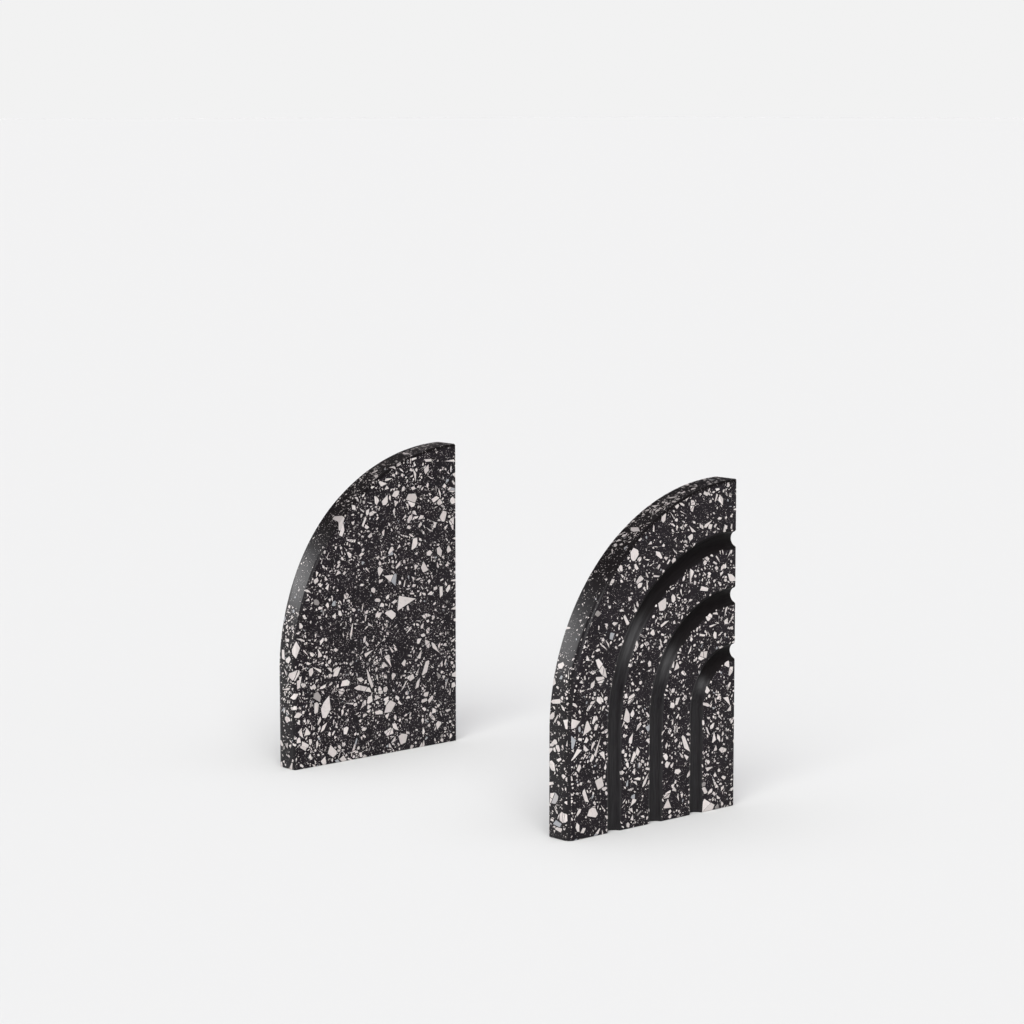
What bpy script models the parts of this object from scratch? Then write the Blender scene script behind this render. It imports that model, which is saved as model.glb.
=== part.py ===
"""A mirrored pair of cast terrazzo book ends.

Each block is a quarter arch: a straight leg that turns into a quarter circle and stops at a
flat cut. Pushed together cut to cut, the two blocks make one whole arch. Three round-bottomed
grooves follow the arch on the face that looks away from the books.

Frame: metres, +Z up. X runs along the row of books. The curved side of each block faces -Y
and its flat cut faces +Y. The origin lies on the shelf, midway between the two blocks and
halfway across their width.
"""
import math

import bmesh
import bpy
from mathutils import Matrix

# Driving dimensions.
ARCH_RADIUS = 0.101
BLOCK_HEIGHT = 0.147
BLOCK_THICKNESS = 0.013
ROW_LENGTH = 0.175

# Softened edges of the casting.
EDGE_RADIUS = 0.0012
EDGE_SEGMENTS = 2
EDGE_ANGLE = math.radians(30)

# Grooves: their centre lines are arches inside the outline, measured from the same centre.
GROOVE_COUNT = 3
INNER_GROOVE_RADIUS = 0.0242
GROOVE_PITCH = 0.0251
GROOVE_SECTION_RADIUS = 0.0040
GROOVE_DEPTH = 0.0031
GROOVE_OVERRUN = 0.006

# Facets of the round shapes.
ARC_SEGMENTS = 40
GROOVE_SECTION_RESOLUTION = 6
WELD_DISTANCE = 0.00001

# Worked out from the driving dimensions.
LEG_HEIGHT = BLOCK_HEIGHT - ARCH_RADIUS
CUT_Y = ARCH_RADIUS / 2
BLOCK_X = (ROW_LENGTH + BLOCK_THICKNESS) / 2

# Local X, Y, Z of an outline drawn flat become world Y, Z, X.
STAND_UPRIGHT = Matrix(((0, 0, 1), (1, 0, 0), (0, 1, 0))).to_4x4()

TERRAZZO_COLOUR = (0.035, 0.033, 0.037, 1.0)
TERRAZZO_ROUGHNESS = 0.35


def clear_scene():
    """Remove every object that the file opened with."""
    for old in list(bpy.data.objects):
        bpy.data.objects.remove(old, do_unlink=True)


def make_collection(name):
    """Add a collection to the scene."""
    collection = bpy.data.collections.new(name)
    bpy.context.scene.collection.children.link(collection)
    return collection


def make_terrazzo(name):
    """Honed black terrazzo."""
    material = bpy.data.materials.new(name)
    material.use_nodes = True
    surface = material.node_tree.nodes["Principled BSDF"]
    surface.inputs["Base Color"].default_value = TERRAZZO_COLOUR
    surface.inputs["Roughness"].default_value = TERRAZZO_ROUGHNESS
    surface.inputs["Metallic"].default_value = 0.0
    return material


def quarter_arch(radius, overrun=0.0):
    """Points (y, z) from the foot of the leg, up and over to the flat cut."""
    points = [(CUT_Y - radius, -overrun)]
    for step in range(ARC_SEGMENTS + 1):
        angle = math.pi / 2 * step / ARC_SEGMENTS
        y = CUT_Y - radius * math.cos(angle)
        z = LEG_HEIGHT + radius * math.sin(angle)
        points.append((y, z))
    if overrun > 0:
        points.append((CUT_Y + overrun, LEG_HEIGHT + radius))
    return points


def make_curve(name, points, closed):
    """A straight-segment curve through the points, drawn in its own XY plane."""
    curve = bpy.data.curves.new(name, 'CURVE')
    spline = curve.splines.new('POLY')
    spline.points.add(len(points) - 1)
    for point, (y, z) in zip(spline.points, points):
        point.co = (y, z, 0.0, 1.0)
    spline.use_cyclic_u = closed
    return curve


def curve_to_mesh(name, curve, x, collection):
    """Stand a curve upright at position x along the row and turn it into a closed mesh."""
    drawn = bpy.data.objects.new(name + "_curve", curve)
    collection.objects.link(drawn)
    drawn.matrix_world = Matrix.Translation((x, 0.0, 0.0)) @ STAND_UPRIGHT
    bpy.context.view_layer.update()
    evaluated = drawn.evaluated_get(bpy.context.evaluated_depsgraph_get())
    mesh = bpy.data.meshes.new_from_object(evaluated)
    matrix = drawn.matrix_world.copy()
    bpy.data.objects.remove(drawn, do_unlink=True)

    welded = bmesh.new()
    welded.from_mesh(mesh)
    bmesh.ops.remove_doubles(welded, verts=welded.verts, dist=WELD_DISTANCE)
    bmesh.ops.recalc_face_normals(welded, faces=welded.faces)
    welded.to_mesh(mesh)
    welded.free()

    mesh.shade_smooth()
    mesh.set_sharp_from_angle(angle=EDGE_ANGLE)
    solid = bpy.data.objects.new(name, mesh)
    collection.objects.link(solid)
    solid.matrix_world = matrix
    return solid


def make_slab(name, x, collection):
    """The plain quarter-arch slab, with softened edges."""
    outline = quarter_arch(ARCH_RADIUS) + [(CUT_Y, 0.0)]
    curve = make_curve(name, outline, closed=True)
    curve.dimensions = '2D'
    curve.fill_mode = 'BOTH'
    curve.extrude = BLOCK_THICKNESS / 2
    slab = curve_to_mesh(name, curve, x, collection)

    softened = slab.modifiers.new("softened_edges", 'BEVEL')
    softened.width = EDGE_RADIUS
    softened.segments = EDGE_SEGMENTS
    softened.limit_method = 'ANGLE'
    softened.angle_limit = EDGE_ANGLE
    return slab


def make_groove_cutter(name, radius, x, collection):
    """A round bar bent along the arch, running out past the base and the cut."""
    curve = make_curve(name, quarter_arch(radius, GROOVE_OVERRUN), closed=False)
    curve.dimensions = '3D'
    curve.fill_mode = 'FULL'
    curve.bevel_depth = GROOVE_SECTION_RADIUS
    curve.bevel_resolution = GROOVE_SECTION_RESOLUTION
    curve.use_fill_caps = True
    cutter = curve_to_mesh(name, curve, x, collection)
    cutter.hide_render = True
    cutter.display_type = 'WIRE'
    return cutter


def make_book_end(name, side, parts, cutters):
    """One block. side is +1 for the right end of the row and -1 for the left end."""
    x = side * BLOCK_X
    block = make_slab(name, x, parts)
    block.data.materials.append(make_terrazzo(name + "_terrazzo"))

    bar_x = x + side * (BLOCK_THICKNESS / 2 - GROOVE_DEPTH + GROOVE_SECTION_RADIUS)
    for index in range(GROOVE_COUNT):
        radius = INNER_GROOVE_RADIUS + index * GROOVE_PITCH
        cutter = make_groove_cutter(f"{name}_groove_{index + 1}", radius, bar_x, cutters)
        groove = block.modifiers.new(f"groove_{index + 1}", 'BOOLEAN')
        groove.operation = 'DIFFERENCE'
        groove.solver = 'EXACT'
        groove.object = cutter
    return block


def build():
    """Both book ends, standing at the two ends of a row of books."""
    clear_scene()
    parts = make_collection("terrazzo_book_ends")
    cutters = make_collection("cutters")
    make_book_end("right_book_end", 1, parts, cutters)
    make_book_end("left_book_end", -1, parts, cutters)


build()
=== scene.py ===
"""Looks of the terrazzo book ends: two cast blocks full of real stone chips, in a plain studio.

Each block is two pieces: the black binder, and the stone chips that lie flush in its faces.
A point of a block is given by three distances: along the arch's outer edge from the foot,
out from the arch's centre line, and front, from the mid plane towards the grooved face.
"""
import math

import bmesh
import bpy
import numpy as np
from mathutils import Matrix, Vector, noise


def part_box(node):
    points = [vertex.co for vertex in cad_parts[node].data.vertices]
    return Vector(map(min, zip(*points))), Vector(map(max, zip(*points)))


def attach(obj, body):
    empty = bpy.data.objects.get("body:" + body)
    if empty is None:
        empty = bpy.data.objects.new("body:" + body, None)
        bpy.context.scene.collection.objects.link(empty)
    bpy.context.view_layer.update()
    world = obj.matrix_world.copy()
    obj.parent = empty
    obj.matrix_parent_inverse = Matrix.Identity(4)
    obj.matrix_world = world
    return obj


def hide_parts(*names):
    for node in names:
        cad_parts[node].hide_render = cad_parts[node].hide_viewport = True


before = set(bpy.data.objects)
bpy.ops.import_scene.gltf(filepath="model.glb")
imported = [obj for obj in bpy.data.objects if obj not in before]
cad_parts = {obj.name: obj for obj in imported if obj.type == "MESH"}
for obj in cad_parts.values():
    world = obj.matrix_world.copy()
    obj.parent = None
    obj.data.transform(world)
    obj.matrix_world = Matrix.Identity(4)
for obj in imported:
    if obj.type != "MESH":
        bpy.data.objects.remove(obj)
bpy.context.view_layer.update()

MM = 0.001

# ---------------------------------------------------------------- sizes and shapes

# Block sizes, from the frame.
LOW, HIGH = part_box("right_book_end")
RADIUS = HIGH.y - LOW.y
LEG = HIGH.z - RADIUS
CUT_Y = HIGH.y
HALF = (HIGH.x - LOW.x) / 2
MID_X = (HIGH.x + LOW.x) / 2
ARCH_END = LEG + RADIUS * math.pi / 2

# Grooves: circles in section, whose mouths turn into the face with a small lip.
GROOVE_RADII = (24.2 * MM, 49.3 * MM, 74.4 * MM)
GROOVE_SECTION = 3.3 * MM
GROOVE_DEPTH = 3.05 * MM
GROOVE_LIFT = GROOVE_SECTION - GROOVE_DEPTH
LIP_RADIUS = 1.1 * MM
LIP_TURN = math.asin((GROOVE_LIFT + LIP_RADIUS) / (GROOVE_SECTION + LIP_RADIUS))
GROOVE_REACH = (GROOVE_SECTION + LIP_RADIUS) * math.cos(LIP_TURN)

# Edges: the front outer edge is well rounded on the leg and crisp on the upper arch.
FRONT_EDGE_LEG = 3.3 * MM
FRONT_EDGE_TOP = 0.6 * MM
FRONT_EDGE_TURNS = (math.radians(12), math.radians(50))
BACK_EDGE = 1.1 * MM
RIM_BEVEL = 0.5 * MM
RIM_ANGLE = math.radians(50)

# Facets.
LEG_STEPS = 16
ARCH_STEPS = 90
LIP_STEPS = 4
GROOVE_STEPS = 16
EDGE_STEPS = 8
RIM_STEPS = 2

# How many chips, and how large. A chip's size is the diameter of a disc of the same area.
CHIPS_PER_AREA = 0.143 / MM**2
FREE_SHARE = 0.86            # roughly the part of a block's surface that isn't cast skin
CHIP_MEDIAN = 0.60 * MM
CHIP_SPREAD = 0.82           # of the logarithm of the size
CHIP_SIZES = (0.4 * MM, 7.5 * MM)
SURFACE_SAMPLES = 80000
CHIP_TRIES = 40
CHIP_ROOM = 3                # sizes drawn, and places kept, for each chip that is wanted

# Outlines of chips, before they are scaled to their size.
CORNER_COUNTS = (3, 4, 5, 6)
CORNER_ODDS = (0.13, 0.42, 0.30, 0.15)
LEAST_GAP = 0.35             # between corners, before a random part from 0 to 1 is added
SLIVER_SHARE = 0.13
SLIVER_ASPECT = (3.5, 6.5)
LOG_ASPECT = (0.45, 0.33)    # mean and spread of the logarithm of the other chips' aspect
LEAST_ASPECT = 1.05
KNOCKS = 2
KNOCK_SHARE = 0.7
KNOCK_TURN = 0.25            # radians
KNOCK_REACH = (0.6, 0.88)    # how far from the middle a corner is cut, as a share of its reach

# Cracked chips: closed cracks may slip, open ones have binder in them. Slips and the offset of a
# crack from the middle are shares of a chip's size.
CRACK_SHARE = 0.4
CRACK_SIZE = 1.2 * MM
CRACK_OFFSET = 0.2
CLOSED_CRACK = 0.008 * MM
CLOSED_SLIP = 0.35
OPEN_SHARE = 0.3
OPEN_CRACK = (0.06 * MM, 0.16 * MM)
OPEN_SLIP = 0.1
SECOND_CRACK_SHARE = 0.5
SMALLEST_PIECE = 0.06 * MM**2

# Chips in depth: depth and drift are shares of the size, taper is the bottom's share of the top.
CHIP_RISE = 0.3 * MM
CHIP_GAP = 0.07 * MM
CHIP_DEPTH = (0.5, 0.9)
CHIP_TAPER = (0.45, 0.85)
CHIP_DRIFT = 0.2
LEVEL_FACE = 0.7             # a face whose direction points up or down by more than this is level
BINDER_WEAR = 0.02 * MM

# Where chips lie: thick and thin clouds everywhere, fewer large ones on the arch.
CLOUD_SIZE = 9 * MM
CLOUD_SHIFT = 40             # keeps the two blocks' clouds apart
CLOUD_STEP = (-0.32, 0.28)
CLOUD_LEAST = 0.22
SMALL_CHIP = 1.1 * MM
LARGE_CHIP = 2.2 * MM
OUTER_BAND = 78 * MM
ARCH_TURN = 20               # degrees over which the arch's own mix sets in
OUTER_THINNING = {"large": 0.65, "other": 0.36}
INNER_ARCH_THINNING = 0.25
INNER_THINNING = {"large": 0.35, "other": 0.05}

# The curved side: a band of it is nearly bare, and large chips keep to the leg.
SIDE_LAYER = 0.8 * MM
BARE_START = (15, 21)        # degrees
BARE_STOP = (46, 53)         # degrees
BARE_THINNING = {"small": 0.8, "other": 0.98}
SIDE_LARGE_TURN = 5          # degrees
SIDE_LARGE_LEFT = 0.3

# Cast skin: tubes that keep chips out of the grooves and off the front outer edge. They run past
# both ends of the arch.
SKIN_RADIUS = 3.8 * MM
SKIN_ROUGH = 0.4 * MM
EDGE_SKIN_LEG = 0.85 * MM
EDGE_SKIN_TOP = 0.95 * MM
EDGE_SKIN_ROUGH = 0.25 * MM
EDGE_SEED_STEP = 9
SKIN_WAVE = 1.6 * MM
SKIN_ENDS = (-4 * MM, ARCH_END + 8 * MM)
SKIN_STEPS = 150
SKIN_SIDES = 14

# ---------------------------------------------------------------- finishes

# Contrasts are the part of a noise's range that takes effect. Bumps are a strength and a height.
PLAIN_DETAIL = 2.0
ROUGH_DETAIL = 3.0

# Binder: ground faces, cast skin, and the cast skin of the upper arch, which is painted darker as painted
# shade.
BINDER_DARK = (0.0078, 0.0056, 0.0079, 1)
BINDER_LIGHT = (0.0124, 0.0092, 0.0124, 1)
BINDER_CLOUD = 7 * MM
CLOUD_CONTRAST = (0.3, 0.7)
SKIN_COLOUR = (0.0095, 0.0082, 0.0095, 1)
PAINTED_SHADE_SKIN = (0.0068, 0.0056, 0.0058, 1)
# Where the upper arch's painted shade sets in, and the share of the skin's reflection kept under it.
UPPER_START = LEG + RADIUS * math.radians(30)
UPPER_STOP = LEG + RADIUS * math.radians(44)
UPPER_SHINE = 0.22
GROUND_ROUGHNESS = 0.58
SIDE_ROUGHNESS = 0.34
GROOVE_ROUGHNESS = 0.45
ROUGHNESS_WAVER = 0.2
GROUND_SPECULAR = 0.16
SIDE_SPECULAR = 0.22
GROOVE_SPECULAR = 0.42
GROOVE_BRUSHING = 0.9
BRUSHING_TURN = 0.25         # a quarter turn, so that highlights run across the grooves' length
FINE_GRAIN = 0.5 * MM
BINDER_BUMP = (0.35, 0.05 * MM)
SKIN_BUMP = 0.35             # the skin's share of the ground faces' bump

# Streaks along the grooves.
STREAK_LENGTH = 9 * MM
STREAK_WIDTH = 0.8 * MM
STREAK_WAVER = 0.16
STREAK_CONTRAST = (0.3, 0.72)
STREAK_SHINE = (0.75, 1.22)
STREAK_BUMP = 0.5

# The ragged border of the grooves' skin, and the border of the curved side.
RAGGED_GRAIN = 1.5 * MM
RAGGED_REACH = 0.6 * MM
GROOVE_BORDER = (0.4 * MM, -0.1 * MM)
FRONT_BORDER = (0.0, 1 * MM)
SIDE_BORDER = (2.0 * MM, 0.6 * MM)

# Stone dust in the binder.
DUST_COLOUR = (0.50, 0.46, 0.45, 1)
DUST_CELL = 0.55 * MM
DUST_SIZE = 0.22 * MM
DUST_SHARE = 0.4
DUST_EDGE = 0.06
DUST_STRENGTH = (0.25, 0.9)

# Stone chips: each has a random number from 0 to 1, its lot, which sets its tone, the tilt of its
# bands, and whether it is one of the few that are grey and clear, or dim.
CHIP_DARK = (0.58, 0.532, 0.512, 1)
CHIP_LIGHT = (0.79, 0.735, 0.708, 1)
CHIP_BAND = (0.40, 0.37, 0.37, 1)
CHIP_BAND_SHARE = 0.35
BAND_CONTRAST = (0.45, 0.75)
CHIP_CLEAR = (0.36, 0.37, 0.39, 1)
CLEAR_LOTS = (0.035, 0.03)
CHIP_DIM = (0.27, 0.25, 0.24, 1)
DIM_LOTS = (0.975, 0.98)
TONE_SHUFFLE = 37.0
TILT_SPREAD = 40.0           # radians
TILT_AXIS = (0.4, 0.7, 0.6)
BAND_STRETCH = (1.0, 5.0, 2.0)
BAND_GRAIN = 2.2 * MM
CHIP_ROUGHNESS = 0.505
CHIP_ROUGHNESS_WAVER = 0.25
CHIP_GRAIN = 0.4 * MM
CHIP_SPECULAR = 0.35
CHIP_BUMP = (0.15, 0.03 * MM)

# Painted shade over the chips of the upper curved side: their colour is blended part way to a dark brown
# there.
PAINTED_CHIP_SHADE = (0.030, 0.022, 0.018, 1)
PAINTED_CHIP_SHADE_SHARE = 0.5
PAINTED_CHIP_SHADE_BORDER = (1.2 * MM, 0.4 * MM)

# ---------------------------------------------------------------- the studio's values

AIM = Vector((-0.0025, 0.0103, 0.1256))
CAMERA_AZIMUTH = math.radians(47.79)
CAMERA_ELEVATION = math.radians(7.65)
CAMERA_DISTANCE = 1.3825
CAMERA_LENS = 106.33

FLOOR_COLOUR = (0.716, 0.724, 0.705, 1)
FLOOR_ROUGHNESS = 0.9
FLOOR_HALF = 60

# The backdrop that the camera sees, and the sky that lights the blocks.
BACKDROP = (0.887, 0.887, 0.887, 1)
SKY_TOP = (1.70, 1.665, 1.75, 1)
SKY_LOW = (0.22, 0.215, 0.23, 1)
SKY_ROW = (0.10, 0.098, 0.105, 1)
TOP_HEIGHTS = (0.65, 0.95)
ROW_SIDE = (-0.2, -0.8)      # the sky is darker on the side where the row of books would be

# Highlight panels: azimuth and elevation in degrees, width, height, brightness.
PANELS = (
    (67, 27, 1.46, 0.63, 8.0),
    (306, 18, 1.30, 0.56, 9.0),
)
LIGHT_DISTANCE = 2.0
FILL_AZIMUTH = math.radians(42)
FILL_ELEVATION = math.radians(38)
FILL_SPREAD = math.radians(50)
FILL_STRENGTH = 2.65

SIDES = {"right": 1, "left": -1}
SEEDS = {"right": 11, "left": 29}


def smooth(low, high, x):
    """0 below low, 1 above high, and a smooth step between."""
    t = min(1.0, max(0.0, (x - low) / (high - low)))
    return t * t * (3 - 2 * t)


# ---------------------------------------------------------------- the cast block


def place(side, along, out, front):
    """The world point of a block's own three distances."""
    turn = max(0.0, along - LEG) / RADIUS
    return Vector((
        side * (MID_X + front),
        CUT_Y - out * math.cos(turn),
        min(along, LEG) + out * math.sin(turn),
    ))


def own_distances(side, point):
    """Along, out and front of a world point: place() turned round."""
    front = side * point[0] - MID_X
    sideways, up = CUT_Y - point[1], point[2] - LEG
    if up <= 0:
        return point[2], sideways, front
    return LEG + math.atan2(up, sideways) * RADIUS, math.hypot(sideways, up), front


def arc(centre, radius, start, stop, steps):
    """Points of a circular arc in the plane of the section."""
    angles = [start + (stop - start) * i / steps for i in range(steps + 1)]
    return [(centre[0] + radius * math.cos(a), centre[1] + radius * math.sin(a)) for a in angles]


def groove_section(middle):
    """Lip, groove and lip, from the inner side to the outer side."""
    lip_y = HALF - LIP_RADIUS
    up, left, right = math.pi / 2, math.pi, 2 * math.pi
    inner = arc((middle - GROOVE_REACH, lip_y), LIP_RADIUS, up, LIP_TURN, LIP_STEPS)
    centre = (middle, HALF + GROOVE_LIFT)
    hollow = arc(centre, GROOVE_SECTION, left + LIP_TURN, right - LIP_TURN, GROOVE_STEPS)
    outer = arc((middle + GROOVE_REACH, lip_y), LIP_RADIUS, left - LIP_TURN, up, LIP_STEPS)
    return inner + hollow[1:-1] + outer


def front_edge(along):
    """Radius of the front outer edge at a place along the arch."""
    turn = (along - LEG) / RADIUS
    return FRONT_EDGE_LEG + (FRONT_EDGE_TOP - FRONT_EDGE_LEG) * smooth(*FRONT_EDGE_TURNS, turn)


def section(along):
    """The block's closed section at a place along the arch."""
    edge = front_edge(along)
    points = [(0.0, HALF)]
    for middle in GROOVE_RADII:
        points += groove_section(middle)
    points += arc((RADIUS - edge, HALF - edge), edge, math.pi / 2, 0, EDGE_STEPS)
    points += arc((RADIUS - BACK_EDGE, BACK_EDGE - HALF), BACK_EDGE, 0, -math.pi / 2, EDGE_STEPS)
    points.append((0.0, -HALF))
    return points


def block_stations():
    """Places along the arch where the section is drawn."""
    leg = [LEG * i / LEG_STEPS for i in range(LEG_STEPS)]
    arch = [LEG + (ARCH_END - LEG) * i / ARCH_STEPS for i in range(ARCH_STEPS + 1)]
    return leg + arch


def block_row(bm, side, along, before):
    """Corners of one section; round the arch, all sections share the two on its centre line."""
    points = section(along)
    if along <= LEG:
        return [bm.verts.new(place(side, along, *point)) for point in points]
    moved = [bm.verts.new(place(side, along, *point)) for point in points[1:-1]]
    return [before[0]] + moved + [before[-1]]


def block_bmesh(side):
    """The whole cast block: its section swept up the leg and round the arch."""
    bm = bmesh.new()
    rows = []
    for along in block_stations():
        rows.append(block_row(bm, side, along, rows[-1] if rows else None))
    for a, b in zip(rows, rows[1:]):
        for k in range(len(a)):
            corners = list(dict.fromkeys((a[k - 1], a[k], b[k], b[k - 1])))
            if len(corners) > 2:
                bm.faces.new(corners)
    bm.faces.new(rows[0])
    bm.faces.new(rows[-1])
    bmesh.ops.recalc_face_normals(bm, faces=bm.faces)
    rim = [e for e in bm.edges if e.calc_face_angle(0) > RIM_ANGLE]
    bmesh.ops.bevel(bm, geom=rim, offset=RIM_BEVEL, segments=RIM_STEPS, profile=0.5,
                    affect="EDGES", clamp_overlap=False)
    return bm


def mesh_from(bm, name):
    """Turn a bmesh into a mesh and free it."""
    mesh = bpy.data.meshes.new(name)
    bm.to_mesh(mesh)
    bm.free()
    return mesh


def smooth_mesh_from(bm, name):
    """A mesh that shades smoothly except across its sharp edges."""
    mesh = mesh_from(bm, name)
    mesh.shade_smooth()
    mesh.set_sharp_from_angle(angle=RIM_ANGLE)
    return mesh


def add_object(name, mesh):
    """Put a mesh in the scene."""
    obj = bpy.data.objects.new(name, mesh)
    bpy.context.scene.collection.objects.link(obj)
    return obj


# ---------------------------------------------------------------- the stone chips


def surface_samples(mesh, rng, count):
    """Points spread evenly over a mesh, with the outward direction at each, and the mesh's area."""
    mesh.calc_loop_triangles()
    corners = np.array([[mesh.vertices[i].co for i in t.vertices] for t in mesh.loop_triangles])
    edge_a = corners[:, 1] - corners[:, 0]
    edge_b = corners[:, 2] - corners[:, 0]
    cross = np.cross(edge_a, edge_b)
    area = np.linalg.norm(cross, axis=1) / 2
    pick = rng.choice(len(area), count, p=area / area.sum())
    u, v = rng.random(count), rng.random(count)
    flip = u + v > 1
    u[flip], v[flip] = 1 - u[flip], 1 - v[flip]
    points = corners[pick, 0] + u[:, None] * edge_a[pick] + v[:, None] * edge_b[pick]
    return points, cross[pick] / (2 * area[pick, None]), area.sum()


def area_of(points):
    """Area of an outline."""
    x, y = points.T
    return abs(np.dot(x, np.roll(y, -1)) - np.dot(y, np.roll(x, -1))) / 2


def unit(angle):
    """The direction of an angle in an outline's own plane."""
    return np.array((math.cos(angle), math.sin(angle)))


def clip(points, normal, level):
    """The part of a convex outline that lies beyond a line."""
    heights = points @ normal - level
    kept = []
    for i in range(len(points)):
        before, here = heights[i - 1], heights[i]
        if (before > 0) != (here > 0):
            share = before / (before - here)
            kept.append(points[i - 1] + (points[i] - points[i - 1]) * share)
        if here > 0:
            kept.append(points[i])
    return np.array(kept)


def knock_corner(rng, points):
    """Knock one corner off an outline, or leave it whole."""
    corner = points[rng.integers(len(points))]
    reach = math.hypot(*corner)
    turn = math.atan2(corner[1], corner[0]) + rng.normal(0, KNOCK_TURN)
    if reach > 0 and rng.random() < KNOCK_SHARE:
        return clip(points, -unit(turn), -rng.uniform(*KNOCK_REACH) * reach)
    return points


def outline(rng, size):
    """A convex outline, as broken stone shows when it is cut: few corners, some knocked off."""
    count = rng.choice(CORNER_COUNTS, p=CORNER_ODDS)
    gaps = LEAST_GAP + rng.random(count)
    angles = np.cumsum(gaps) / gaps.sum() * 2 * math.pi
    if rng.random() < SLIVER_SHARE:
        aspect = rng.uniform(*SLIVER_ASPECT)
    else:
        aspect = max(LEAST_ASPECT, math.exp(rng.normal(*LOG_ASPECT)))
    points = np.stack((np.cos(angles) * aspect, np.sin(angles)), 1)
    points -= points.mean(0)
    for _ in range(KNOCKS):
        points = knock_corner(rng, points)
    points *= size * math.sqrt(math.pi / 4 / area_of(points))
    turn = rng.random() * 2 * math.pi
    cos, sin = math.cos(turn), math.sin(turn)
    return (points - points.mean(0)) @ np.array(((cos, sin), (-sin, cos)))


def split(rng, whole, size, crack, slip):
    """Break an outline along a line near its middle; one side may slip along the crack."""
    normal = unit(rng.random() * 2 * math.pi)
    level = float(whole.mean(0) @ normal) + rng.uniform(-CRACK_OFFSET, CRACK_OFFSET) * size
    parts = [clip(whole, normal, level + crack), clip(whole, -normal, crack - level)]
    parts = [part for part in parts if len(part) > 2]
    parts[0] = parts[0] + np.array((-normal[1], normal[0])) * slip * size
    return [part for part in parts if area_of(part) > SMALLEST_PIECE]


def pieces_of(rng, size):
    """The outlines of a chip's pieces, and whether they lie together or have binder between."""
    whole = outline(rng, size)
    if size < CRACK_SIZE or rng.random() > CRACK_SHARE:
        return [whole], True
    if rng.random() > OPEN_SHARE:
        return split(rng, whole, size, CLOSED_CRACK, rng.uniform(-CLOSED_SLIP, CLOSED_SLIP)), True
    parts = []
    for part in split(rng, whole, size, rng.uniform(*OPEN_CRACK), rng.uniform(-OPEN_SLIP, OPEN_SLIP)):
        if rng.random() < SECOND_CRACK_SHARE:
            parts += split(rng, part, size / 2, rng.uniform(*OPEN_CRACK), 0.0)
        else:
            parts.append(part)
    return parts, False


def chip_pieces(rng, point, normal, flats, size):
    """Corners of a chip's pieces: each outline, drawn out of the face and tapered into the block."""
    helper = np.array((0.0, 0.0, 1.0)) if abs(normal[2]) < LEVEL_FACE else np.array((1.0, 0.0, 0.0))
    across = np.cross(helper, normal)
    across /= np.linalg.norm(across)
    up = np.cross(normal, across)
    depth = size * rng.uniform(*CHIP_DEPTH)
    taper = rng.uniform(*CHIP_TAPER)
    drift = across * rng.uniform(-CHIP_DRIFT, CHIP_DRIFT) + up * rng.uniform(-CHIP_DRIFT, CHIP_DRIFT)
    pieces = []
    for flat in flats:
        spread = flat[:, :1] * across + flat[:, 1:] * up
        middle = spread.mean(0)
        top = point + spread + normal * CHIP_RISE
        bottom = point + middle + (spread - middle) * taper + drift * size - normal * depth
        pieces.append(np.concatenate((top, bottom)))
    return pieces


def chip_planes(corners):
    """Outward directions of a chip's sides, and the direction of its ends."""
    count = len(corners) // 2
    top, bottom = corners[:count], corners[count:]
    sides = np.cross(np.roll(top, -1, 0) - top, bottom - top)
    end = np.cross(top[1] - top[0], top[2] - top[0])
    planes = np.concatenate((sides, (end,)))
    return planes / np.linalg.norm(planes, axis=1, keepdims=True)


class Packing:
    """Chips placed so far, kept so that a new one can be tested against those near it.

    Each piece's corners and planes fill a row of fixed length by repeating themselves.
    """

    CELL = 8 * MM
    CORNERS = 20
    PLANES = CORNERS // 2 + 1

    def __init__(self, most):
        self.corners = np.zeros((most, self.CORNERS, 3))
        self.planes = np.zeros((most, self.PLANES, 3))
        self.low = np.zeros((most, self.PLANES))
        self.high = np.zeros((most, self.PLANES))
        self.centres = np.zeros((most, 3))
        self.reach = np.zeros(most)
        self.chips = []
        self.cells = {}

    def nearby(self, centre, reach):
        """Chips whose spheres touch the sphere of a new one."""
        x, y, z = (int(math.floor(c / self.CELL)) for c in centre)
        found = []
        for i in (x - 1, x, x + 1):
            for j in (y - 1, y, y + 1):
                for k in (z - 1, z, z + 1):
                    found += self.cells.get((i, j, k), ())
        found = np.array(found, int)
        apart = np.linalg.norm(self.centres[found] - centre, axis=1)
        return found[apart < self.reach[found] + reach + CHIP_GAP]

    def fits(self, corners):
        """Whether a plane separates a chip from every chip nearby."""
        centre = corners.mean(0)
        near = self.nearby(centre, np.linalg.norm(corners - centre, axis=1).max())
        if not len(near):
            return True
        planes = chip_planes(corners)
        own = corners @ planes.T
        theirs = self.corners[near] @ planes.T
        gap = np.maximum(theirs.min(1) - own.max(0), own.min(0) - theirs.max(1)).max(1)
        mine = self.planes[near] @ corners.T
        other = np.maximum(mine.min(2) - self.high[near], self.low[near] - mine.max(2)).max(1)
        return bool((np.maximum(gap, other) >= CHIP_GAP).all())

    def add(self, pieces, together):
        """Keep pieces that fit: all or none where they lie together, else each on its own."""
        if together:
            if not all(self.fits(corners) for corners in pieces):
                return False
            for corners in pieces:
                self.keep(corners)
            return True
        kept = 0
        for corners in pieces:
            if self.fits(corners):
                self.keep(corners)
                kept += 1
        return kept > 0

    def keep(self, corners):
        """Remember a chip."""
        centre = corners.mean(0)
        i = len(self.chips)
        self.chips.append(corners)
        self.corners[i] = np.resize(corners, (self.CORNERS, 3))
        self.planes[i] = np.resize(chip_planes(corners), (self.PLANES, 3))
        spread = self.corners[i] @ self.planes[i].T
        self.low[i], self.high[i] = spread.min(0), spread.max(0)
        self.centres[i] = centre
        self.reach[i] = np.linalg.norm(corners - centre, axis=1).max()
        cell = tuple(int(math.floor(c / self.CELL)) for c in centre)
        self.cells.setdefault(cell, []).append(i)


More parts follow.
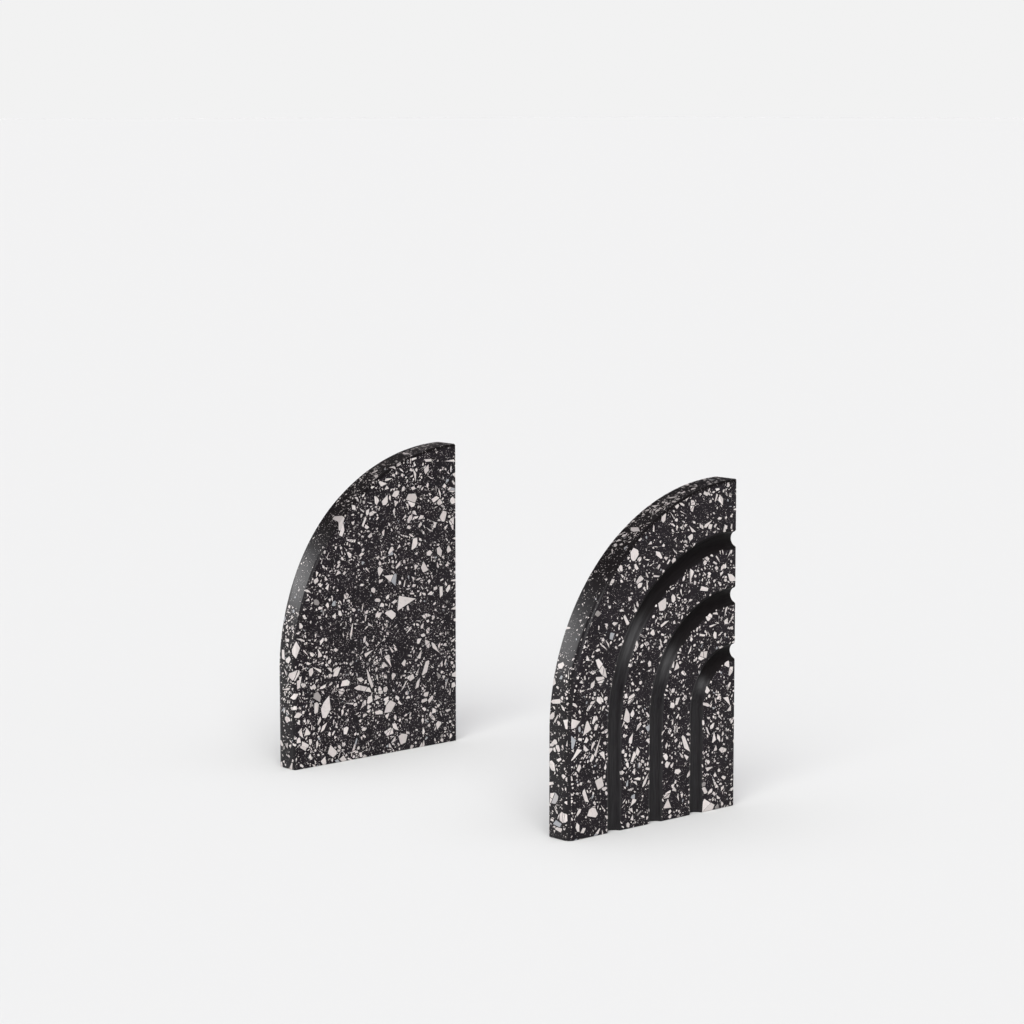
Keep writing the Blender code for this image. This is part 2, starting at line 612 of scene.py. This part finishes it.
def side_chance(chance, turn, size):
    """How readily a chip is found on the curved side, at an angle of the arch in degrees."""
    bare = smooth(*BARE_START, turn) * (1 - smooth(*BARE_STOP, turn))
    chance *= 1 - BARE_THINNING["small" if size < SMALL_CHIP else "other"] * bare
    if size > LARGE_CHIP and turn > SIDE_LARGE_TURN:
        chance *= SIDE_LARGE_LEFT
    return chance


def chip_chance(side, point, size):
    """How readily a chip of a size is found at a place."""
    along, out, front = own_distances(side, point)
    turn = math.degrees(max(0.0, along - LEG) / RADIUS)
    if min(math.hypot(out - g, front - HALF - GROOVE_LIFT) for g in GROOVE_RADII) < SKIN_RADIUS:
        return 0.0
    cloud = noise.noise(Vector(point) / CLOUD_SIZE + Vector((side * CLOUD_SHIFT, 0, 0)))
    chance = CLOUD_LEAST + (1 - CLOUD_LEAST) * smooth(*CLOUD_STEP, cloud)
    if out > RADIUS - SIDE_LAYER:
        return side_chance(chance, turn, size)
    arch = smooth(0, ARCH_TURN, turn)
    kind = "large" if size > LARGE_CHIP else "other"
    if out > OUTER_BAND:
        return chance * (1 - OUTER_THINNING[kind] * arch)
    return chance * (1 - INNER_THINNING[kind] - INNER_ARCH_THINNING * arch)


def pack_chips(side, mesh, seed):
    """Place chips on the block's faces, the largest first."""
    rng = np.random.default_rng(seed)
    points, normals, area = surface_samples(mesh, rng, SURFACE_SAMPLES)
    count = int(area * CHIPS_PER_AREA * FREE_SHARE)
    sizes = np.exp(rng.normal(math.log(CHIP_MEDIAN), CHIP_SPREAD, CHIP_ROOM * count))
    sizes = sizes[(sizes > CHIP_SIZES[0]) & (sizes < CHIP_SIZES[1])][:count]
    packing = Packing(CHIP_ROOM * len(sizes))
    used = 0
    for size in sorted(sizes, reverse=True):
        for _ in range(CHIP_TRIES):
            point, normal = points[used % len(points)], normals[used % len(points)]
            used += 1
            if rng.random() > chip_chance(side, point, size):
                continue
            flats, together = pieces_of(rng, size)
            if packing.add(chip_pieces(rng, point, normal, flats, size), together):
                break
    return packing.chips


def chips_bmesh(chips):
    """All chips as closed prisms in one mesh."""
    bm = bmesh.new()
    for corners in chips:
        verts = [bm.verts.new(c) for c in corners]
        count = len(verts) // 2
        top, bottom = verts[:count], verts[count:]
        bm.faces.new(top)
        bm.faces.new(bottom[::-1])
        for k in range(count):
            bm.faces.new((top[k - 1], bottom[k - 1], bottom[k], top[k]))
    return bm


# ---------------------------------------------------------------- the cast skin


def tube_row(bm, side, along, line, rough, seed):
    """One ring of a tube, with an uneven wall."""
    out, front, radius = line(along)
    row = []
    for k in range(SKIN_SIDES):
        angle = 2 * math.pi * k / SKIN_SIDES
        cos, sin = math.cos(angle), math.sin(angle)
        wall = place(side, along, out + radius * cos, front + radius * sin)
        grown = radius + rough * noise.noise(wall / SKIN_WAVE + Vector((seed, seed, 0)))
        row.append(bm.verts.new(place(side, along, out + grown * cos, front + grown * sin)))
    return row


def add_tube(bm, side, line, rough, seed):
    """A tube along the arch; line gives its middle and radius at each place."""
    first, last = SKIN_ENDS
    stations = [first + (last - first) * i / SKIN_STEPS for i in range(SKIN_STEPS + 1)]
    rows = [tube_row(bm, side, along, line, rough, seed) for along in stations]
    for a, b in zip(rows, rows[1:]):
        for k in range(SKIN_SIDES):
            bm.faces.new((a[k - 1], a[k], b[k], b[k - 1]))
    bm.faces.new(rows[0])
    bm.faces.new(rows[-1])


def edge_line(along):
    """Middle and radius of the skin along the front outer edge."""
    edge = front_edge(along)
    inset = (1 - math.sqrt(0.5)) * edge
    share = (edge - FRONT_EDGE_TOP) / (FRONT_EDGE_LEG - FRONT_EDGE_TOP)
    return RADIUS - inset, HALF - inset, EDGE_SKIN_TOP + (EDGE_SKIN_LEG - EDGE_SKIN_TOP) * share


def skin_bmesh(side, seed):
    """The binder-rich skin round the grooves and along the front outer edge."""
    bm = bmesh.new()
    for i, middle in enumerate(GROOVE_RADII):
        add_tube(bm, side, lambda along: (middle, HALF + GROOVE_LIFT, SKIN_RADIUS), SKIN_ROUGH, seed + i)
    add_tube(bm, side, edge_line, EDGE_SKIN_ROUGH, seed + EDGE_SEED_STEP)
    bmesh.ops.recalc_face_normals(bm, faces=bm.faces)
    return bm


def apply_modifiers(obj):
    """Make an object's mesh what its modifiers give."""
    depsgraph = bpy.context.evaluated_depsgraph_get()
    mesh = bpy.data.meshes.new_from_object(obj.evaluated_get(depsgraph))
    obj.modifiers.clear()
    obj.data = mesh


def cut(obj, cutter_mesh, operation):
    """Apply one Boolean between closed meshes."""
    cutter = add_object("cutter", cutter_mesh)
    boolean = obj.modifiers.new("cut", "BOOLEAN")
    boolean.operation = operation
    boolean.solver = "MANIFOLD"
    boolean.object = cutter
    apply_modifiers(obj)
    bpy.data.objects.remove(cutter)


def face_like(obj, mesh):
    """Give each corner the outward direction of the nearest place on a smooth mesh."""
    source = add_object("source", mesh)
    transfer = obj.modifiers.new("smooth", "DATA_TRANSFER")
    transfer.object = source
    transfer.use_loop_data = True
    transfer.data_types_loops = {"CUSTOM_NORMAL"}
    transfer.loop_mapping = "POLYINTERP_NEAREST"
    apply_modifiers(obj)
    bpy.data.objects.remove(source)


def make_chips(name, side, block, seed):
    """Stone chips of one block, ground flush with its faces."""
    obj = add_object(name, mesh_from(chips_bmesh(pack_chips(side, block, seed)), name))
    cut(obj, block, "INTERSECT")
    cut(obj, mesh_from(skin_bmesh(side, seed), "skin"), "DIFFERENCE")
    face_like(obj, block)
    obj.data.materials.clear()
    return obj


def make_binder(name, side):
    """Binder of one block, worn a hair below the harder chips."""
    bm = block_bmesh(side)
    bm.normal_update()
    for v in bm.verts:
        v.co -= v.normal * BINDER_WEAR
    return add_object(name, smooth_mesh_from(bm, name))


# ---------------------------------------------------------------- node helpers


def add_node(tree, kind, inputs=None, **settings):
    """Add a node; an input is a value or another node's output."""
    node = tree.nodes.new(kind)
    for key, value in settings.items():
        setattr(node, key, value)
    for key, value in (inputs or {}).items():
        if isinstance(value, bpy.types.NodeSocket):
            tree.links.new(value, node.inputs[key])
        else:
            node.inputs[key].default_value = value
    return node


def sums(tree, operation, *values):
    """One step of arithmetic on numbers or outputs."""
    return add_node(tree, "ShaderNodeMath", dict(enumerate(values)), operation=operation).outputs[0]


def waver(tree, middle, noise_value, amount):
    """A number that varies about a middle by an amount, as a noise goes from 0 to 1."""
    share = sums(tree, "SUBTRACT", noise_value, 0.5)
    return sums(tree, "ADD", middle, sums(tree, "MULTIPLY", share, amount))


def ramp(tree, value, start, stop, low=0.0, high=1.0):
    """A smooth change from low to high while value goes from start to stop."""
    inputs = {"Value": value, "From Min": start, "From Max": stop, "To Min": low, "To Max": high}
    node = add_node(tree, "ShaderNodeMapRange", inputs, interpolation_type="SMOOTHSTEP")
    return node.outputs["Result"]


def blend_colours(tree, share, first, second):
    """Mix two colours by a share from 0 to 1; the node's colour sockets are 6, 7 and output 2."""
    return add_node(tree, "ShaderNodeMix", {0: share, 6: first, 7: second}, data_type="RGBA").outputs[2]


def blend_values(tree, share, first, second):
    """Mix two numbers by a share from 0 to 1; the node's number sockets are 2, 3 and output 0."""
    return add_node(tree, "ShaderNodeMix", {0: share, 2: first, 3: second}, data_type="FLOAT").outputs[0]


def grain(tree, position, size, detail=PLAIN_DETAIL):
    """Soft noise with features of about a size."""
    inputs = {"Vector": position, "Scale": 1 / size, "Detail": detail}
    return add_node(tree, "ShaderNodeTexNoise", inputs).outputs["Fac"]


def add_bump(tree, shader, height, strength, distance):
    """Give a shader fine relief."""
    inputs = {"Height": height, "Strength": strength, "Distance": distance}
    tree.links.new(add_node(tree, "ShaderNodeBump", inputs).outputs[0], shader.inputs["Normal"])


def new_material(name):
    """A material with a position output in the block's own frame, and its shader."""
    material = bpy.data.materials.new(name)
    material.use_nodes = True
    tree = material.node_tree
    position = add_node(tree, "ShaderNodeTexCoord").outputs["Object"]
    return material, tree, position, tree.nodes["Principled BSDF"]


def arch_distances(tree, position):
    """Along, out and front of the shaded point, as place() uses them, and the way the arch runs there."""
    x, y, z = add_node(tree, "ShaderNodeSeparateXYZ", {0: position}).outputs
    front = sums(tree, "SUBTRACT", sums(tree, "ABSOLUTE", x), MID_X)
    sideways = sums(tree, "SUBTRACT", CUT_Y, y)
    up = sums(tree, "MAXIMUM", sums(tree, "SUBTRACT", z, LEG), 0.0)
    squares = [sums(tree, "MULTIPLY", value, value) for value in (sideways, up)]
    out = sums(tree, "SQRT", sums(tree, "ADD", *squares))
    turn = sums(tree, "ARCTAN2", up, sideways)
    along = sums(tree, "ADD", sums(tree, "MINIMUM", z, LEG), sums(tree, "MULTIPLY", turn, RADIUS))
    way = add_node(tree, "ShaderNodeCombineXYZ", {1: up, 2: sideways}).outputs[0]
    return along, out, front, way


# ---------------------------------------------------------------- binder material


def skin_masks(tree, position, out, front):
    """Where the surface is cast skin: in the grooves, and on the curved side."""
    gaps = [sums(tree, "ABSOLUTE", sums(tree, "SUBTRACT", out, middle)) for middle in GROOVE_RADII]
    away = sums(tree, "MINIMUM", sums(tree, "MINIMUM", gaps[0], gaps[1]), gaps[2])
    edge = waver(tree, away, grain(tree, position, RAGGED_GRAIN), RAGGED_REACH)
    groove = ramp(tree, edge, GROOVE_REACH + GROOVE_BORDER[0], GROOVE_REACH + GROOVE_BORDER[1])
    groove = sums(tree, "MULTIPLY", groove, ramp(tree, front, *FRONT_BORDER))
    side = ramp(tree, out, RADIUS - SIDE_BORDER[0], RADIUS - SIDE_BORDER[1])
    return groove, side


def specks(tree, position, cell, largest, share):
    """Stone dust: a mask of tiny grains, each of its own size, and each grain's own number."""
    inputs = {"Vector": position, "Scale": 1 / cell}
    cells = add_node(tree, "ShaderNodeTexVoronoi", inputs)
    red, green, _ = add_node(tree, "ShaderNodeSeparateColor", {0: cells.outputs["Color"]}).outputs
    reach = ramp(tree, red, 1 - share, 1.0, 0.0, largest / cell)
    mask = ramp(tree, sums(tree, "SUBTRACT", reach, cells.outputs["Distance"]), 0.0, DUST_EDGE)
    return mask, green


def streak_noise(tree, along, out, front):
    """Noise drawn out along the arch."""
    shares = {
        0: sums(tree, "DIVIDE", along, STREAK_LENGTH),
        1: sums(tree, "DIVIDE", out, STREAK_WIDTH),
        2: sums(tree, "DIVIDE", front, STREAK_WIDTH),
    }
    return grain(tree, add_node(tree, "ShaderNodeCombineXYZ", shares).outputs[0], 1.0, ROUGH_DETAIL)


def binder_colour(tree, position, groove, skin, upper):
    """Clouded black on ground faces, plain black skin painted darker on the upper arch as painted shade,
    and stone dust outside the grooves.
    """
    cloud = ramp(tree, grain(tree, position, BINDER_CLOUD, ROUGH_DETAIL), *CLOUD_CONTRAST)
    ground = blend_colours(tree, cloud, BINDER_DARK, BINDER_LIGHT)
    colour = blend_colours(tree, skin, ground, blend_colours(tree, upper, SKIN_COLOUR, PAINTED_SHADE_SKIN))
    dust, number = specks(tree, position, DUST_CELL, DUST_SIZE, DUST_SHARE)
    dust = sums(tree, "MULTIPLY", dust, sums(tree, "SUBTRACT", 1.0, groove))
    dust = sums(tree, "MULTIPLY", dust, ramp(tree, number, 0.0, 1.0, *DUST_STRENGTH))
    return blend_colours(tree, dust, colour, DUST_COLOUR)


def binder_roughness(tree, fine, streaks, groove, skin):
    """Matt ground faces and satin skin."""
    worn = waver(tree, GROUND_ROUGHNESS, fine, ROUGHNESS_WAVER)
    satin = waver(tree, blend_values(tree, groove, SIDE_ROUGHNESS, GROOVE_ROUGHNESS), streaks, STREAK_WAVER)
    return blend_values(tree, skin, worn, satin)


def binder_shine(tree, streaks, groove, side, upper):
    """Reflection of the surface: more on skin, turned down on the upper arch as painted shade, streaky in
    the grooves.
    """
    shine_under_painted_shade = blend_values(tree, upper, 1.0, UPPER_SHINE)
    side_shine = sums(tree, "MULTIPLY", shine_under_painted_shade, SIDE_SPECULAR)
    streaky = ramp(tree, streaks, *STREAK_CONTRAST, *STREAK_SHINE)
    groove_shine = sums(tree, "MULTIPLY", sums(tree, "MULTIPLY", shine_under_painted_shade, GROOVE_SPECULAR), streaky)
    return blend_values(tree, groove, blend_values(tree, side, GROUND_SPECULAR, side_shine), groove_shine)


def make_binder_material():
    """Black pigmented binder: ground faces, satin cast skin, and stone dust."""
    material, tree, position, shader = new_material("terrazzo_binder")
    along, out, front, way = arch_distances(tree, position)
    groove, side = skin_masks(tree, position, out, front)
    skin = sums(tree, "MAXIMUM", groove, side)
    # The upper arch, where the binder's skin gets painted shade.
    upper = ramp(tree, along, UPPER_START, UPPER_STOP)
    fine = grain(tree, position, FINE_GRAIN)
    streaks = streak_noise(tree, along, out, front)
    links = {
        "Base Color": binder_colour(tree, position, groove, skin, upper),
        "Roughness": binder_roughness(tree, fine, streaks, groove, skin),
        "Specular IOR Level": binder_shine(tree, streaks, groove, side, upper),
        "Tangent": way,
        "Anisotropic": sums(tree, "MULTIPLY", groove, GROOVE_BRUSHING),
    }
    for name, value in links.items():
        tree.links.new(value, shader.inputs[name])
    shader.inputs["Anisotropic Rotation"].default_value = BRUSHING_TURN
    relief = sums(tree, "MULTIPLY", fine, blend_values(tree, skin, 1.0, SKIN_BUMP))
    streak_relief = sums(tree, "MULTIPLY", streaks, sums(tree, "MULTIPLY", groove, STREAK_BUMP))
    add_bump(tree, shader, sums(tree, "ADD", relief, streak_relief), *BINDER_BUMP)
    return material


# ---------------------------------------------------------------- chip material


def chip_bands(tree, position, own):
    """Faint bands, tilted another way in each chip."""
    angle = sums(tree, "MULTIPLY", own, TILT_SPREAD)
    inputs = {"Vector": position, "Angle": angle, "Axis": TILT_AXIS}
    tilted = add_node(tree, "ShaderNodeVectorRotate", inputs).outputs[0]
    drawn_out = add_node(tree, "ShaderNodeVectorMath", {0: tilted, 1: BAND_STRETCH}, operation="MULTIPLY")
    return grain(tree, drawn_out.outputs[0], BAND_GRAIN, ROUGH_DETAIL)


def chip_tone(tree, own, bands):
    """Each chip's own colour, from its lot."""
    second = sums(tree, "FRACT", sums(tree, "MULTIPLY", own, TONE_SHUFFLE))
    tone = blend_colours(tree, second, CHIP_DARK, CHIP_LIGHT)
    band = ramp(tree, bands, *BAND_CONTRAST, 0.0, CHIP_BAND_SHARE)
    tone = blend_colours(tree, band, tone, CHIP_BAND)
    tone = blend_colours(tree, ramp(tree, own, *CLEAR_LOTS), tone, CHIP_CLEAR)
    return blend_colours(tree, ramp(tree, own, *DIM_LOTS), tone, CHIP_DIM)


def painted_chip_shade_share(tree, position):
    """How much the stone is darkened by painted shade: some on the upper curved side, none elsewhere."""
    along, out, _, _ = arch_distances(tree, position)
    side = ramp(tree, out, RADIUS - PAINTED_CHIP_SHADE_BORDER[0], RADIUS - PAINTED_CHIP_SHADE_BORDER[1])
    return sums(tree, "MULTIPLY", side, ramp(tree, along, UPPER_START, UPPER_STOP, 0.0, PAINTED_CHIP_SHADE_SHARE))


def make_chip_material():
    """Pale broken stone: each chip has its own tone and a faint grain."""
    material, tree, position, shader = new_material("stone_chips")
    own = add_node(tree, "ShaderNodeNewGeometry").outputs["Random Per Island"]
    bands = chip_bands(tree, position, own)
    # The chips' own tone, darkened by painted shade on the upper curved side.
    colour = blend_colours(tree, painted_chip_shade_share(tree, position), chip_tone(tree, own, bands), PAINTED_CHIP_SHADE)
    tree.links.new(colour, shader.inputs["Base Color"])
    rough = waver(tree, CHIP_ROUGHNESS, grain(tree, position, CHIP_GRAIN), CHIP_ROUGHNESS_WAVER)
    tree.links.new(rough, shader.inputs["Roughness"])
    shader.inputs["Specular IOR Level"].default_value = CHIP_SPECULAR
    add_bump(tree, shader, bands, *CHIP_BUMP)
    return material


# ---------------------------------------------------------------- the studio


def make_floor_material():
    """Plain matt studio paper."""
    material, _, _, shader = new_material("studio_paper")
    shader.inputs["Base Color"].default_value = FLOOR_COLOUR
    shader.inputs["Roughness"].default_value = FLOOR_ROUGHNESS
    shader.inputs["Specular IOR Level"].default_value = 0.0
    return material


def add_floor():
    """A plain pale floor."""
    bm = bmesh.new()
    bmesh.ops.create_grid(bm, x_segments=2, y_segments=2, size=FLOOR_HALF)
    floor = add_object("floor", mesh_from(bm, "floor"))
    floor.data.materials.append(make_floor_material())


def towards(azimuth, elevation):
    """The direction of a compass angle and a height above the floor."""
    flat = math.cos(elevation)
    return Vector((math.sin(azimuth) * flat, -math.cos(azimuth) * flat, math.sin(elevation)))


def aimed(name, data, azimuth, elevation, distance):
    """Put a camera or a light in the scene, looking at the book ends from a direction."""
    obj = bpy.data.objects.new(name, data)
    back = towards(azimuth, elevation)
    obj.location = AIM + back * distance
    obj.rotation_euler = back.to_track_quat("Z", "Y").to_euler()
    bpy.context.scene.collection.objects.link(obj)
    return obj


def add_camera():
    """A long lens that looks slightly down on the curved sides and the right block's grooves."""
    data = bpy.data.cameras.new("camera")
    data.lens = CAMERA_LENS
    camera = aimed("camera", data, CAMERA_AZIMUTH, CAMERA_ELEVATION, CAMERA_DISTANCE)
    bpy.context.scene.camera = camera


def add_light(kind, azimuth, elevation):
    """A light that faces the book ends and isn't seen itself."""
    light = aimed("light", bpy.data.lights.new("light", kind), azimuth, elevation, LIGHT_DISTANCE)
    light.visible_camera = False
    return light


def add_panel(azimuth, elevation, width, height, brightness):
    """A softbox that is seen only as a highlight."""
    light = add_light("AREA", math.radians(azimuth), math.radians(elevation))
    light.data.shape = "RECTANGLE"
    light.data.size = width
    light.data.size_y = height
    light.data.energy = math.pi * width * height * brightness
    light.visible_diffuse = False


def add_fill():
    """Very soft light from the camera's side, with no highlight of its own."""
    light = add_light("SUN", FILL_AZIMUTH, FILL_ELEVATION)
    light.data.angle = FILL_SPREAD
    light.data.energy = FILL_STRENGTH
    light.visible_glossy = False


def add_world():
    """A pale backdrop for the camera, and soft light from overhead."""
    world = bpy.data.worlds.new("studio")
    world.use_nodes = True
    tree = world.node_tree
    direction = add_node(tree, "ShaderNodeTexCoord").outputs["Generated"]
    across, _, height = add_node(tree, "ShaderNodeSeparateXYZ", {0: direction}).outputs
    light = blend_colours(tree, ramp(tree, across, *ROW_SIDE), SKY_LOW, SKY_ROW)
    light = blend_colours(tree, ramp(tree, height, *TOP_HEIGHTS), light, SKY_TOP)
    seen = add_node(tree, "ShaderNodeLightPath").outputs["Is Camera Ray"]
    tree.links.new(blend_colours(tree, seen, light, BACKDROP), tree.nodes["Background"].inputs[0])
    bpy.context.scene.world = world


# ---------------------------------------------------------------- the book ends


def make_book_end(word, side, binder_material, chip_material):
    """Both pieces of one block, in place of its CAD solid."""
    block = smooth_mesh_from(block_bmesh(side), word + "_block")
    binder = make_binder(word + "_binder", side)
    chips = make_chips(word + "_chips", side, block, SEEDS[word])
    for piece, material in ((binder, binder_material), (chips, chip_material)):
        piece.data.materials.append(material)
        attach(piece, word + "_block")
        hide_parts(word + "_book_end")


materials = make_binder_material(), make_chip_material()
for word, side in SIDES.items():
    make_book_end(word, side, *materials)
add_floor()
add_world()
for panel in PANELS:
    add_panel(*panel)
add_fill()
add_camera()
bpy.context.scene.view_settings.view_transform = "Standard"
